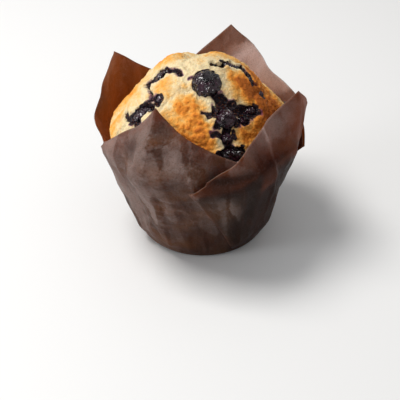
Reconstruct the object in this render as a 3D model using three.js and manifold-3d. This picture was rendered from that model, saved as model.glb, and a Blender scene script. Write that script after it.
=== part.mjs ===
// A blueberry muffin that stands in the folded paper liner it was baked in.
// Millimetres, +Z up, origin at the centre of the liner's flat base.

import * as THREE from "three";
import { mergeVertices } from "three/addons/utils/BufferGeometryUtils.js";
import Module from "manifold-3d";

const wasm = await Module();
wasm.setup();

// ---------------------------------------------------------------- driving sizes

const CLEARANCE = 0.35; // between neighbouring pieces

// The liner: one square sheet with a round base pressed into it.
const PAPER = 0.5; // drawn thickness of the sheet
const BASE_RADIUS = 25; // flat part of the base
const FOOT_RADIUS = 28.8; // where the rounded foot turns into the wall
const FOOT_HEIGHT = 2.9;
const WALL_LEAN = THREE.MathUtils.degToRad(15.5); // outward lean of the wall
const LAYER_STEP = 0.95; // from one layer of a pleat to the next
const FREE_HEIGHT = 40; // above this height a petal stands free of the cone
const FREE_SHARE = 0.55; // or above this share of a column that ends lower
const CROWN_GAP = PAPER / 2 + 3 * CLEARANCE; // between a petal's middle and the crown
const LEAN_EASE = 1.8; // how softly a petal comes to lie along the crown
const FLAP_RISE = [3, 16]; // degrees past a fold over which a flap climbs on it
const PLEAT_OPENING = 0.14; // share of the wall over which the layers part
const FLAT_RADIUS = 14; // ring that divides the base's flat disc
const EDGE_STEPS = 9; // columns on each edge of a petal
const WALL_STEPS = 11; // rows from the foot to the edge of the sheet

// The cake: a cone in the liner with a tall crown above it.
const CROWN_RADIUS = 39.5;
const CROWN_BASE = 51; // height of the crown's widest ring
const CROWN_RISE = 31; // from that ring to the top
const CROWN_POWER = 1.1; // how full the crown's curve is
const CAKE_SEGMENTS = 56;
const CAKE_FLOOR = PAPER + CLEARANCE;
const CAKE_HEEL = 0.7; // how far the cake's lower edge is drawn in
const SIDE_HEIGHTS = [7, 14, 21, 28, 35, 42, 47]; // rings of the cake below its crown
const CROWN_STEPS = 12;

// Soft humps left on the crown where it split: plan position, height and spread.
const HUMPS = [
  { x: -15, y: 15, height: 4.2, spread: 9 },
  { x: 8, y: 13, height: 1.6, spread: 8 },
  { x: -4, y: 11, height: -2.6, spread: 6 },
  { x: 24, y: -8, height: 0.5, spread: 7 },
  { x: 4, y: 24, height: 0.7, spread: 8 },
];

// Petals, in order round the liner. foot: the part of the base ring that a petal
// grows from, in degrees. rise and fall: its edge from the outer fold to the tip,
// and from the tip to the inner fold, as [degrees, radius, height].
const PETALS = [
  {
    foot: [296.3, 385],
    rise: [
      [263.7, 40.0, 46.6], [275.5, 40.3, 53.2], [283, 40.3, 57.2], [291.7, 38.4, 59.8],
      [300.5, 35.2, 61.8], [313.4, 33.4, 65.4], [328, 35.2, 69.8], [342, 40.6, 75.0],
    ],
    fall: [
      [342, 40.6, 75.0], [352, 43.3, 67.0], [368, 43.5, 56.0], [384, 42.0, 50.0], [392, 41.8, 48.5],
    ],
  },
  {
    foot: [25, 104],
    rise: [
      [-4, 42.6, 42.6], [8, 42.6, 46.4], [24, 43.4, 53.5],
      [45, 44.2, 59.0], [58, 46.0, 65.5], [74, 47.5, 75.0],
    ],
    fall: [[74, 47.5, 75.0], [89.5, 43.0, 64.5], [107, 42.0, 54.0], [126, 41.8, 48.0]],
  },
  {
    foot: [104, 205],
    rise: [
      [96, 42.0, 44.5], [112, 42.0, 51.5], [130, 41.0, 61.2], [143, 41.4, 69.6], [152, 42.5, 75.0],
    ],
    fall: [
      [152, 42.5, 75.0], [158, 43.5, 68.0], [165, 45.2, 60.0],
      [172, 45.6, 51.0], [186, 42.8, 48.5], [203, 41.8, 47.0],
    ],
  },
  {
    foot: [205, 296.3],
    rise: [
      [190.7, 41.4, 45.8], [199, 40.8, 50.4], [209, 37.2, 57.3], [219, 31.6, 64.5], [228, 26.4, 71.0],
    ],
    fall: [
      [228, 26.4, 71.0], [235.6, 27.0, 69.0], [257.3, 31.2, 64.8],
      [276.7, 35.2, 60.6], [290, 38.0, 57.0], [302, 41.0, 51.5],
    ],
  },
];
const PLEAT_FOOT = 1.6; // degrees of the base ring that a pleat's folds share

// Blueberries. at: plan position. size: half length, half width, half depth.
// heading: plan direction of the length, in degrees. proud: how far it stands
// out of the crust. bowed ones follow the crown's curve along their length.
const BERRIES = {
  crown: { at: [1.6, -12.5], size: [6.5, 6.4, 5.6], heading: 20, proud: 3.6 },
  mid: { at: [9.2, -23.0], size: [4.5, 4.5, 4.5], heading: 60, proud: 2.4 },
  mid_right: { at: [16.4, -21.0], size: [2.6, 2.3, 2.6], heading: 10, proud: 1.2 },
  right: { at: [20.2, -15.8], size: [3.0, 2.0, 2.4], heading: 33, proud: 0.7 },
  lower: { at: [9.3, -28.6], size: [2.2, 2.0, 2.4], heading: 80, proud: 1.0 },
  low: { at: [11.6, -32.2], size: [6.4, 3.0, 3.0], heading: 20, proud: 0.35, bowed: true },
  left: { at: [-25.8, -12.6], size: [5.6, 3.0, 3.2], heading: 10, proud: 0.5, bowed: true },
  left_small: { at: [-18.0, -13.4], size: [2.3, 1.7, 2.2], heading: 60, proud: 0.7 },
  upper_left: { at: [-17.9, -0.6], size: [5.0, 2.2, 2.4], heading: 20, proud: 0.6, bowed: true },
  back: { at: [12.0, 1.0], size: [4.2, 1.6, 2.0], heading: 4, proud: 0.7, bowed: true },
  back_right: { at: [19.0, -1.9], size: [2.6, 1.0, 1.5], heading: -45, proud: 0.4, bowed: true },
  right_small: { at: [24.6, -4.6], size: [1.4, 1.1, 1.4], heading: 0, proud: 0.2 },
  rear: { at: [-4.0, 29.5], size: [5.4, 5.2, 5.0], heading: 70, proud: 2.0 },
  rear_left: { at: [-22.0, 19.0], size: [5.6, 3.4, 3.6], heading: 130, proud: 1.2, bowed: true },
  rear_right: { at: [17.5, 23.0], size: [5.4, 5.2, 5.0], heading: 40, proud: 2.4 },
  rear_low: { at: [7.5, 33.0], size: [5.2, 3.2, 3.4], heading: 10, proud: 0.8, bowed: true },
};
const BERRY_SEGMENTS = 12;
const SLOPE_STEP = 0.5; // plan distance over which the crown's slope is measured

const FINISH = {
  paper: new THREE.MeshStandardMaterial({ color: 0x4a3026, roughness: 0.75, metalness: 0 }),
  crust: new THREE.MeshStandardMaterial({ color: 0xd9973f, roughness: 0.85, metalness: 0 }),
  berry: new THREE.MeshStandardMaterial({ color: 0x1d1526, roughness: 0.35, metalness: 0 }),
};

// ---------------------------------------------------------------- shared shapes

const { degToRad, lerp, smoothstep } = THREE.MathUtils;

/** Radius of the cone that the liner's innermost layer follows. */
function wallRadius(z) {
  return FOOT_RADIUS + Math.tan(WALL_LEAN) * (z - FOOT_HEIGHT);
}

/** Radius of the crown at a height above its widest ring. */
function crownRadius(z) {
  const share = THREE.MathUtils.clamp((z - CROWN_BASE) / CROWN_RISE, 0, 1);
  return CROWN_RADIUS * Math.sqrt(1 - share ** (1 / CROWN_POWER));
}

/** Height of the crown's surface over a plan position. */
function crownHeight(x, y) {
  const share = Math.min((x * x + y * y) / CROWN_RADIUS ** 2, 1);
  const humps = HUMPS.reduce((sum, hump) => {
    const away = Math.hypot(x - hump.x, y - hump.y) / hump.spread;
    return sum + hump.height * Math.exp(-away * away);
  }, 0);
  return CROWN_BASE + CROWN_RISE * (1 - share) ** CROWN_POWER + humps * (1 - share);
}

/** Outward normal of the crown over a plan position. */
function crownNormal(x, y) {
  const slopeX = (crownHeight(x + SLOPE_STEP, y) - crownHeight(x - SLOPE_STEP, y)) / (2 * SLOPE_STEP);
  const slopeY = (crownHeight(x, y + SLOPE_STEP) - crownHeight(x, y - SLOPE_STEP)) / (2 * SLOPE_STEP);
  return new THREE.Vector3(-slopeX, -slopeY, 1).normalize();
}

/** A point from a direction in degrees, a radius and a height. */
function polar(degrees, radius, height) {
  const angle = degToRad(degrees);
  return new THREE.Vector3(radius * Math.cos(angle), radius * Math.sin(angle), height);
}

/** The same closed mesh as a solid that can be cut and joined. */
function solidOf(geometry) {
  const bare = geometry.clone().deleteAttribute("normal").deleteAttribute("uv");
  const merged = mergeVertices(bare, 1e-3);
  return new wasm.Manifold(
    new wasm.Mesh({
      numProp: 3,
      vertProperties: new Float32Array(merged.attributes.position.array),
      triVerts: new Uint32Array(merged.index.array),
    }),
  );
}

/** A cut solid as geometry again. */
function geometryOf(solid) {
  const mesh = solid.getMesh();
  const geometry = new THREE.BufferGeometry();
  geometry.setAttribute("position", new THREE.BufferAttribute(mesh.vertProperties, 3));
  geometry.setIndex(new THREE.BufferAttribute(mesh.triVerts, 1));
  geometry.computeVertexNormals();
  return geometry;
}

// ---------------------------------------------------------------- blueberries

/** One berry, grown all round by an amount, in its place in the crust. */
function berryGeometry({ at, size, heading, proud, bowed }, grow = 0) {
  const geometry = new THREE.SphereGeometry(1, BERRY_SEGMENTS, BERRY_SEGMENTS / 2 + 2);
  geometry.rotateX(Math.PI / 2);
  geometry.scale(...size.map((half) => half + grow));
  const points = geometry.attributes.position;
  for (let i = 0; bowed && i < points.count; i += 1) {
    points.setZ(i, points.getZ(i) - points.getX(i) ** 2 / (2 * CROWN_RADIUS));
  }
  const normal = crownNormal(...at);
  const across = new THREE.Vector3().crossVectors(normal, polar(heading, 1, 0)).normalize();
  const along = new THREE.Vector3().crossVectors(across, normal);
  const centre = new THREE.Vector3(at[0], at[1], crownHeight(...at));
  centre.addScaledVector(normal, proud - size[2]);
  const place = new THREE.Matrix4().makeBasis(along, across, normal).setPosition(centre);
  return geometry.applyMatrix4(place);
}

// ---------------------------------------------------------------- cake

/** Outline of the cake from the middle of its floor to the top of its crown. */
function cakeOutline() {
  const inset = PAPER / 2 + CLEARANCE;
  const side = (z) => Math.min(wallRadius(z) - inset, CROWN_RADIUS);
  const outline = [new THREE.Vector2(0, CAKE_FLOOR), new THREE.Vector2(FLAT_RADIUS, CAKE_FLOOR)];
  outline.push(new THREE.Vector2(BASE_RADIUS - CAKE_HEEL, CAKE_FLOOR));
  outline.push(new THREE.Vector2(side(FOOT_HEIGHT) - CAKE_HEEL, FOOT_HEIGHT));
  for (const z of SIDE_HEIGHTS) {
    outline.push(new THREE.Vector2(side(z), z));
  }
  for (let i = 0; i <= CROWN_STEPS; i += 1) {
    const turn = (i / CROWN_STEPS) * (Math.PI / 2);
    const radius = CROWN_RADIUS * Math.cos(turn);
    outline.push(new THREE.Vector2(i < CROWN_STEPS ? radius : 0, crownHeight(radius, 0)));
  }
  return outline;
}

/** The baked crumb, with a socket for each berry. */
function cakeGeometry() {
  const geometry = new THREE.LatheGeometry(cakeOutline(), CAKE_SEGMENTS);
  geometry.rotateX(Math.PI / 2);
  const points = geometry.attributes.position;
  for (let i = 0; i < points.count; i += 1) {
    if (points.getZ(i) > CROWN_BASE - 0.01) {
      points.setZ(i, crownHeight(points.getX(i), points.getY(i)));
    }
  }
  let cake = solidOf(geometry);
  for (const berry of Object.values(BERRIES)) {
    cake = cake.subtract(solidOf(berryGeometry(berry, CLEARANCE)));
  }
  return geometryOf(cake);
}

// ---------------------------------------------------------------- liner

/** The edge of the sheet through its marked points, as a smooth curve. */
function edgeCurve(marks) {
  return new THREE.CatmullRomCurve3(marks.map((mark) => polar(...mark)));
}

/** Direction of a point in degrees, on the turn nearest to a given direction. */
function degreesNear(point, near) {
  const degrees = THREE.MathUtils.radToDeg(Math.atan2(point.y, point.x));
  return degrees + 360 * Math.round((near - degrees) / 360);
}

/** The columns of one petal, from its outer fold over its tip to its inner fold. */
function petalColumns(petal, neighbourFold) {
  const edges = [edgeCurve(petal.rise), edgeCurve(petal.fall)];
  const total = edges[0].getLength() + edges[1].getLength();
  const footStart = petal.foot[0] + PLEAT_FOOT / 2;
  const footEnd = petal.foot[1] - PLEAT_FOOT / 2;
  const columns = [];
  edges.forEach((edge, side) => {
    const before = side === 0 ? 0 : edges[0].getLength();
    for (let i = side; i <= EDGE_STEPS; i += 1) {
      const end = edge.getPointAt(i / EDGE_STEPS);
      const share = (before + (edge.getLength() * i) / EDGE_STEPS) / total;
      const foot = lerp(footStart, footEnd, share);
      const degrees = degreesNear(end, foot);
      columns.push({
        foot,
        degrees,
        radius: Math.hypot(end.x, end.y),
        height: end.z,
        lapped: neighbourFold,
        footStart: petal.foot[0],
        out: 1,
        round: 0,
        shift: 0,
      });
    }
  });
  return columns;
}

/** The columns that turn back between two petals: a hairpin, the tuck, a hairpin. */
function pleatColumns(inner, outer) {
  const between = (share, changes) => ({
    foot: lerp(inner.foot, outer.foot, 0.1 + 0.8 * share),
    degrees: lerp(inner.degrees, outer.degrees, share),
    radius: lerp(inner.radius, outer.radius, share),
    height: lerp(inner.height, outer.height, share),
    out: -1,
    round: 0,
    shift: 0,
    layer: 1,
    ...changes,
  });
  return [
    between(0, { layer: 0.5, out: 0, round: -1, shift: 0.5 }),
    between(0.02, {}),
    between(0.5, {}),
    between(0.98, {}),
    between(1, { layer: 1.5, out: 0, round: -1, shift: -0.5 }),
  ];
}

/** All columns of the sheet, once round. */
function sheetColumns() {
  const petals = PETALS.map((petal, i) => {
    const fold = PETALS.at(i - 1).fall.at(-1)[0];
    const turn = 360 * Math.round((petal.foot[0] - fold) / 360);
    return petalColumns(petal, fold + turn);
  });
  return petals.flatMap((columns, i) => {
    const next = petals[(i + 1) % petals.length][0];
    const turn = 360 * Math.round((columns.at(-1).foot - next.foot) / 360);
    const outer = { ...next, foot: next.foot + turn, degrees: next.degrees + turn };
    return [...columns, ...pleatColumns(columns.at(-1), outer)];
  });
}

/** Radius and height of the innermost layer on a column, from 0 at the foot to 1. */
function innerLayer(column, share) {
  const z = lerp(FOOT_HEIGHT, column.height, share);
  const free = Math.min(FREE_HEIGHT, FREE_SHARE * column.height);
  if (z <= free) {
    return new THREE.Vector2(wallRadius(z), z);
  }
  const span = column.height - free;
  const straight = wallRadius(column.height);
  const part = (z - free) / span;
  const radius = wallRadius(z) + (column.radius - straight) * part * part;
  const closest = Math.min(wallRadius(z), crownRadius(z) + CROWN_GAP);
  const ease = LEAN_EASE * smoothstep(z, 0.8 * FREE_HEIGHT, CROWN_BASE);
  return new THREE.Vector2((radius + closest + Math.hypot(radius - closest, ease)) / 2, z);
}

/** Radius and height down the middle of the sheet on one column. */
function columnProfile(column) {
  const middle = PAPER / 2;
  const profile = [new THREE.Vector2(0, middle), new THREE.Vector2(FLAT_RADIUS, middle)];
  const foot = new THREE.QuadraticBezierCurve(
    new THREE.Vector2(BASE_RADIUS, middle),
    new THREE.Vector2(FOOT_RADIUS - CAKE_HEEL, middle),
    new THREE.Vector2(FOOT_RADIUS, FOOT_HEIGHT),
  );
  profile.push(foot.getPoint(0), foot.getPoint(0.5));
  for (let i = 0; i <= WALL_STEPS; i += 1) {
    profile.push(innerLayer(column, i / WALL_STEPS));
  }
  return profile;
}

/** Layers that lie under a column: a flap rides over its neighbour's inner fold. */
function layerAt(column, degrees, share) {
  if (column.layer !== undefined) {
    return column.layer;
  }
  const fold = lerp(column.footStart, column.lapped, share);
  const [start, end] = FLAP_RISE;
  return 2 * (1 - smoothstep(degrees, fold + start, fold + end));
}

/** Points on both faces of the sheet down one column. */
function columnFaces(column) {
  const profile = columnProfile(column);
  const wallStart = profile.length - 1 - WALL_STEPS;
  return profile.map((middle, row) => {
    const before = profile[Math.max(row - 1, 0)];
    const after = profile[Math.min(row + 1, profile.length - 1)];
    const flat = row < wallStart - 1;
    const run = flat ? new THREE.Vector2(1, 0) : after.clone().sub(before).normalize();
    const share = Math.max(row - wallStart, 0) / WALL_STEPS;
    const opened = smoothstep(share, 0, PLEAT_OPENING);
    const degrees = lerp(column.foot, column.degrees, share);
    const out = polar(degrees, run.y, -run.x);
    const round = polar(degrees + 90, 1, 0);
    const point = polar(degrees, middle.x, middle.y);
    point.addScaledVector(out, layerAt(column, degrees, share) * LAYER_STEP * opened);
    point.addScaledVector(round, column.shift * LAYER_STEP * opened);
    const side = lerp(1, column.out, opened);
    const offset = out.clone().multiplyScalar(side).addScaledVector(round, column.round * opened);
    offset.setLength(PAPER / 2);
    return [point.clone().add(offset), point.clone().sub(offset)];
  });
}

/** The folded sheet as a closed surface: both faces and the cut edge. */
function linerGeometry() {
  const columns = sheetColumns().map(columnFaces);
  const rows = columns[0].length;
  const vertices = [];
  const index = (column, row, face) => ((column % columns.length) * rows + row) * 2 + face;
  columns.forEach((column) => column.forEach((pair) => pair.forEach((p) => vertices.push(...p))));
  const faces = [];
  const quad = (a, b, c, d) => faces.push(a, b, c, a, c, d);
  for (let c = 0; c < columns.length; c += 1) {
    faces.push(index(0, 0, 0), index(c + 1, 1, 0), index(c, 1, 0));
    faces.push(index(0, 0, 1), index(c, 1, 1), index(c + 1, 1, 1));
    for (let r = 1; r < rows - 1; r += 1) {
      quad(index(c, r, 0), index(c + 1, r, 0), index(c + 1, r + 1, 0), index(c, r + 1, 0));
      quad(index(c, r, 1), index(c, r + 1, 1), index(c + 1, r + 1, 1), index(c + 1, r, 1));
    }
    const top = rows - 1;
    quad(index(c, top, 0), index(c + 1, top, 0), index(c + 1, top, 1), index(c, top, 1));
  }
  const geometry = new THREE.BufferGeometry();
  geometry.setAttribute("position", new THREE.Float32BufferAttribute(vertices, 3));
  geometry.setIndex(faces);
  geometry.computeVertexNormals();
  return geometry;
}

// ---------------------------------------------------------------- assembly

/** A named piece of the muffin. */
function piece(name, geometry, material) {
  const mesh = new THREE.Mesh(geometry, material);
  mesh.name = name;
  return mesh;
}

const muffin = new THREE.Group();
muffin.add(piece("tulip_liner", linerGeometry(), FINISH.paper));
muffin.add(piece("muffin_cake", cakeGeometry(), FINISH.crust));
for (const [name, berry] of Object.entries(BERRIES)) {
  muffin.add(piece(`blueberry_${name}`, berryGeometry(berry), FINISH.berry));
}

export default muffin;
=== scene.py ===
"""A tall blueberry muffin in its folded tulip liner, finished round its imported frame.

Lengths in the classes are millimetres, and every mesh is written in metres.
"""

import logging
import math
from dataclasses import dataclass, replace
from enum import Enum
from functools import cached_property

import bmesh
import bpy
from mathutils import Euler, Matrix, Vector, noise


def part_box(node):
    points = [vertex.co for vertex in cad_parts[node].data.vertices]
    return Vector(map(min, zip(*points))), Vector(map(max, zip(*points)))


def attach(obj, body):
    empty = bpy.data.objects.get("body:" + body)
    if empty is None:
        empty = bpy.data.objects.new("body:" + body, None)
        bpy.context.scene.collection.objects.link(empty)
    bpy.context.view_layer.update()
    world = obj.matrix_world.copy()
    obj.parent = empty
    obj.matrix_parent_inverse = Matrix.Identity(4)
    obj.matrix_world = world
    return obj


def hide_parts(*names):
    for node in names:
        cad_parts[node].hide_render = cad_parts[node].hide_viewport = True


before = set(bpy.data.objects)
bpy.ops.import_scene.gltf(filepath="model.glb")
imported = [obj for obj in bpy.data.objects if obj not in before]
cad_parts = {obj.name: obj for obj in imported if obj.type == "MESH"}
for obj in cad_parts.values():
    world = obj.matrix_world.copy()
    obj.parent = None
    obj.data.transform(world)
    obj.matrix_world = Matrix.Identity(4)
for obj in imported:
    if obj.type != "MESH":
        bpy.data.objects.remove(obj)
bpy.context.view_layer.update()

MM = 0.001
BODY = "root"
SHEET_SIZE = 150.0
LOG = logging.getLogger("muffin")

Socket = bpy.types.NodeSocket
Value = Socket | float | tuple


class Slot(Enum):
    """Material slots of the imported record."""

    PAPER = "liner_paper"
    CRUMB = "baked_crumb"
    SKIN = "blueberry_skin"


# ------------------------------------------------------------------ small maths


def lerp(a: float, b: float, t: float) -> float:
    """A value a share t of the way from a to b."""
    return a + (b - a) * t


def smoothstep(x: float, low: float, high: float) -> float:
    """A smooth step from 0 at low to 1 at high."""
    t = min(max((x - low) / (high - low), 0.0), 1.0)
    return t * t * (3.0 - 2.0 * t)


def polar(degrees: float, radius: float, height: float) -> Vector:
    """A point from a direction in degrees, a radius and a height."""
    angle = math.radians(degrees)
    return Vector((radius * math.cos(angle), radius * math.sin(angle), height))


def lumps(point: Vector, size: float, seed: float) -> float:
    """Soft noise from about -1 to 1 whose lumps are a given size across."""
    return 1.6 * noise.noise(point / size + Vector((seed, 2.0 * seed, -seed)))


def ridges(point: Vector, size: float, seed: float) -> float:
    """Noise from 0 to 1 that is 1 along thin, wandering ridges."""
    return 1.0 - min(abs(lumps(point, size, seed)) * 1.4, 1.0)


def cells(point: Vector, size: float, seed: float) -> tuple[float, float, float]:
    """How far a point is from the nearest of scattered cell middles, and from a cell's border.

    Args:
        point: The point.
        size: How far apart the middles are.
        seed: Which scatter to use.

    Returns:
        The two distances, in cell sizes, and a tone from about -1 to 1 that the whole cell shares.
    """
    (near, second, _, _), middles = noise.voronoi(point / size + Vector((seed, -seed, 2.0 * seed)))
    return near, second - near, 2.0 * noise.noise(3.1 * Vector(middles[0]))


def whole_turns(degrees: float) -> float:
    """The nearest whole turns to an angle, in degrees."""
    return 360.0 * round(degrees / 360.0)


def turned(degrees: float, start: float) -> float:
    """How far a direction lies round from another, from -180 to 180 degrees."""
    return (degrees - start + 180.0) % 360.0 - 180.0


def evenly(points: list[Vector], steps: int) -> list[tuple[Vector, float]]:
    """Evenly spaced points along a line of straight stretches.

    Args:
        points: The line's own points.
        steps: How many stretches to cut it into.

    Returns:
        Each point with its distance along the line.
    """
    run = [0.0]
    for before, after in zip(points, points[1:]):
        run.append(run[-1] + (after - before).length)
    even = []
    spot = 0
    for i in range(steps + 1):
        wanted = run[-1] * i / steps
        while spot < len(points) - 2 and run[spot + 1] < wanted:
            spot += 1
        share = (wanted - run[spot]) / (run[spot + 1] - run[spot])
        even.append((points[spot].lerp(points[spot + 1], share), wanted))
    return even


def along_path(x: float, y: float, path: tuple) -> float:
    """Plan distance from a point to a path of straight stretches.

    Args:
        x: Plan position of the point.
        y: Plan position of the point.
        path: The path's points in plan.

    Returns:
        The shortest distance.
    """
    best = math.inf
    for (ax, ay), (bx, by) in zip(path, path[1:]):
        dx, dy = bx - ax, by - ay
        t = ((x - ax) * dx + (y - ay) * dy) / (dx * dx + dy * dy)
        t = min(max(t, 0.0), 1.0)
        best = min(best, math.hypot(x - ax - t * dx, y - ay - t * dy))
    return best


# ------------------------------------------------------------------ shader tools


class NodeBoard:
    """A node tree with short ways to add and join nodes."""

    def __init__(self, tree: bpy.types.NodeTree) -> None:
        """Takes the tree that nodes are added to."""
        self.tree = tree

    def add(self, kind: str, **sockets: Value) -> bpy.types.Node:
        """Adds a node and sets or links its inputs.

        Args:
            kind: The node's type without the ShaderNode prefix.
            **sockets: Input names, with _ for a space, and a value or an output.

        Returns:
            The new node.
        """
        node = self.tree.nodes.new("ShaderNode" + kind)
        for name, value in sockets.items():
            self.feed(node, name.replace("_", " "), value)
        return node

    def feed(self, node: bpy.types.Node, name: str | int, value: Value) -> None:
        """Links an output to an input, or sets the input's own value.

        Args:
            node: The node.
            name: The input's name or number.
            value: An output, a number or a colour.
        """
        socket = node.inputs[name]
        if isinstance(value, Socket):
            self.tree.links.new(value, socket)
        else:
            socket.default_value = value

    def math(self, operation: str, first: Value, second: Value = 0.0) -> Socket:
        """The output of a Math node.

        Args:
            operation: The node's operation.
            first: Its first value.
            second: Its second value.

        Returns:
            The result.
        """
        node = self.tree.nodes.new("ShaderNodeMath")
        node.operation = operation
        self.feed(node, 0, first)
        self.feed(node, 1, second)
        return node.outputs[0]

    def plus(self, first: Value, *others: Value) -> Value:
        """The sum of some values.

        Args:
            first: A value.
            *others: The values to add to it.

        Returns:
            The sum.
        """
        total = first
        for value in others:
            total = self.math("ADD", total, value)
        return total

    def swing(self, factor: Socket, reach: float = 1.0) -> Socket:
        """A noise factor counted from its middle and stretched to a reach."""
        return self.math("MULTIPLY", self.math("SUBTRACT", factor, 0.5), reach)

    def span(
        self, value: Value, low: float, high: float, to_low: float = 0.0, to_high: float = 1.0
    ) -> Socket:
        """A value moved smoothly from one range to another, and held inside it.

        Args:
            value: The value.
            low: Where its range begins.
            high: Where its range ends.
            to_low: What it becomes at low.
            to_high: What it becomes at high.

        Returns:
            The moved value.
        """
        node = self.tree.nodes.new("ShaderNodeMapRange")
        node.interpolation_type = "SMOOTHSTEP"
        for i, part in enumerate((value, low, high, to_low, to_high)):
            self.feed(node, i, part)
        return node.outputs[0]

    def noise(self, place: Socket, scale: Value, detail: float, rough: float) -> Socket:
        """The factor of a Noise Texture."""
        node = self.add("TexNoise", Vector=place, Scale=scale, Detail=detail, Roughness=rough)
        return node.outputs[0]

    def facets(self, place: Socket, scale: float = 1.0) -> Socket:
        """The distance of a Voronoi Texture, whose slopes meet in straight creases."""
        return self.add("TexVoronoi", Vector=place, Scale=scale, Randomness=0.9).outputs["Distance"]

    def blend(self, share: Value, first: Value, second: Value) -> Socket:
        """Two colours mixed by a share.

        Args:
            share: How much of the second shows, from 0 to 1.
            first: A colour.
            second: The colour over it.

        Returns:
            The mixed colour.
        """
        node = self.tree.nodes.new("ShaderNodeMix")
        node.data_type = "RGBA"
        self.feed(node, 0, share)
        self.feed(node, 6, first)
        self.feed(node, 7, second)
        return node.outputs[2]

    def layered(self, colour: Value, layers: tuple) -> Value:
        """A colour under layers of (tint, value, low, high, share).

        Args:
            colour: The colour at the bottom.
            layers: A tint covers nothing where its value is low, and its share where that is high.

        Returns:
            The colour that shows.
        """
        for tint, value, low, high, share in layers:
            colour = self.blend(self.span(value, low, high, 0.0, share), colour, tint)
        return colour

    def ramp(self, value: Socket, stops: tuple) -> Socket:
        """A colour ramp through (position, colour) stops.

        Args:
            value: Where on the ramp to read it.
            stops: The stops, from the first to the last.

        Returns:
            The colour.
        """
        node = self.add("ValToRGB", Fac=value)
        elements = node.color_ramp.elements
        elements[0].position, elements[0].color = stops[0]
        elements[1].position, elements[1].color = stops[-1]
        for position, colour in stops[1:-1]:
            elements.new(position).color = colour
        return node.outputs[0]

    def uv(self, name: str) -> Socket:
        """One of the piece's own UV maps.

        Args:
            name: The map's name.

        Returns:
            Its coordinates.
        """
        node = self.tree.nodes.new("ShaderNodeUVMap")
        node.uv_map = name
        return node.outputs[0]

    def scaled(self, place: Socket, across: float, along: float) -> Socket:
        """A place stretched by two scales.

        Args:
            place: The coordinates.
            across: The scale of x.
            along: The scale of y.

        Returns:
            The stretched coordinates.
        """
        node = self.add("Mapping", Vector=place)
        node.inputs["Scale"].default_value = (across, along, 1.0)
        return node.outputs[0]

    def mask(self, name: str) -> Socket:
        """A number painted on the mesh.

        Args:
            name: The painted layer's name.

        Returns:
            Its number at each point.
        """
        node = self.tree.nodes.new("ShaderNodeAttribute")
        node.attribute_name = name
        return node.outputs["Fac"]


def rgba(red: float, green: float, blue: float) -> tuple[float, float, float, float]:
    """A linear colour with full alpha."""
    return (red, green, blue, 1.0)


def grain_group() -> bpy.types.NodeTree:
    """The group of fine grain and broad mottle that all three finishes share.

    Returns:
        The group, with Vector, Grain Scale and Mottle Scale in, and Grain and Mottle out.
    """
    tree = bpy.data.node_groups.new("grain_and_mottle", "ShaderNodeTree")
    tree.interface.new_socket("Vector", in_out="INPUT", socket_type="NodeSocketVector")
    for name in ("Grain Scale", "Mottle Scale"):
        tree.interface.new_socket(name, in_out="INPUT", socket_type="NodeSocketFloat")
    for name in ("Grain", "Mottle"):
        tree.interface.new_socket(name, in_out="OUTPUT", socket_type="NodeSocketFloat")
    board = NodeBoard(tree)
    given = tree.nodes.new("NodeGroupInput")
    result = tree.nodes.new("NodeGroupOutput")
    place = given.outputs["Vector"]
    board.feed(result, "Grain", board.noise(place, given.outputs["Grain Scale"], 6.0, 0.62))
    board.feed(result, "Mottle", board.noise(place, given.outputs["Mottle Scale"], 3.0, 0.5))
    return tree


class Finish:
    """A material made of nodes, with its Principled BSDF ready to dress."""

    def __init__(self, name: str, grain: bpy.types.NodeTree) -> None:
        """Makes an empty node material.

        Args:
            name: The material's name.
            grain: The shared grain group.
        """
        self.material = bpy.data.materials.new(name)
        self.material.use_nodes = True
        tree = self.material.node_tree
        tree.nodes.clear()
        self.board = NodeBoard(tree)
        self.shader = tree.nodes.new("ShaderNodeBsdfPrincipled")
        self.output = tree.nodes.new("ShaderNodeOutputMaterial")
        tree.links.new(self.shader.outputs[0], self.output.inputs[0])
        self.grain_tree = grain

    def grain(self, place: Socket, fine: float, broad: float) -> tuple[Socket, Socket]:
        """Places the shared grain group and gives its two outputs.

        Args:
            place: The coordinates to read.
            fine: The grain's scale.
            broad: The mottle's scale.

        Returns:
            The grain and the mottle.
        """
        node = self.board.tree.nodes.new("ShaderNodeGroup")
        node.node_tree = self.grain_tree
        self.board.feed(node, "Vector", place)
        self.board.feed(node, "Grain Scale", fine)
        self.board.feed(node, "Mottle Scale", broad)
        return node.outputs["Grain"], node.outputs["Mottle"]

    def bump(self, height: Socket, strength: float, distance: float, normal: Socket | None = None) -> Socket:
        """The normal of a Bump node, whose distance is in millimetres.

        Args:
            height: The height to read.
            strength: How much of it shows.
            distance: How high 1 stands.
            normal: The normal under it, or None for the mesh's own.

        Returns:
            The bumped normal.
        """
        node = self.board.add("Bump", Height=height, Strength=strength, Distance=distance * MM)
        if normal is not None:
            self.board.feed(node, "Normal", normal)
        return node.outputs[0]

    def set(self, **sockets: Value) -> None:
        """Sets or links the Principled BSDF's inputs."""
        for name, value in sockets.items():
            self.board.feed(self.shader, name.replace("_", " "), value)


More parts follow.
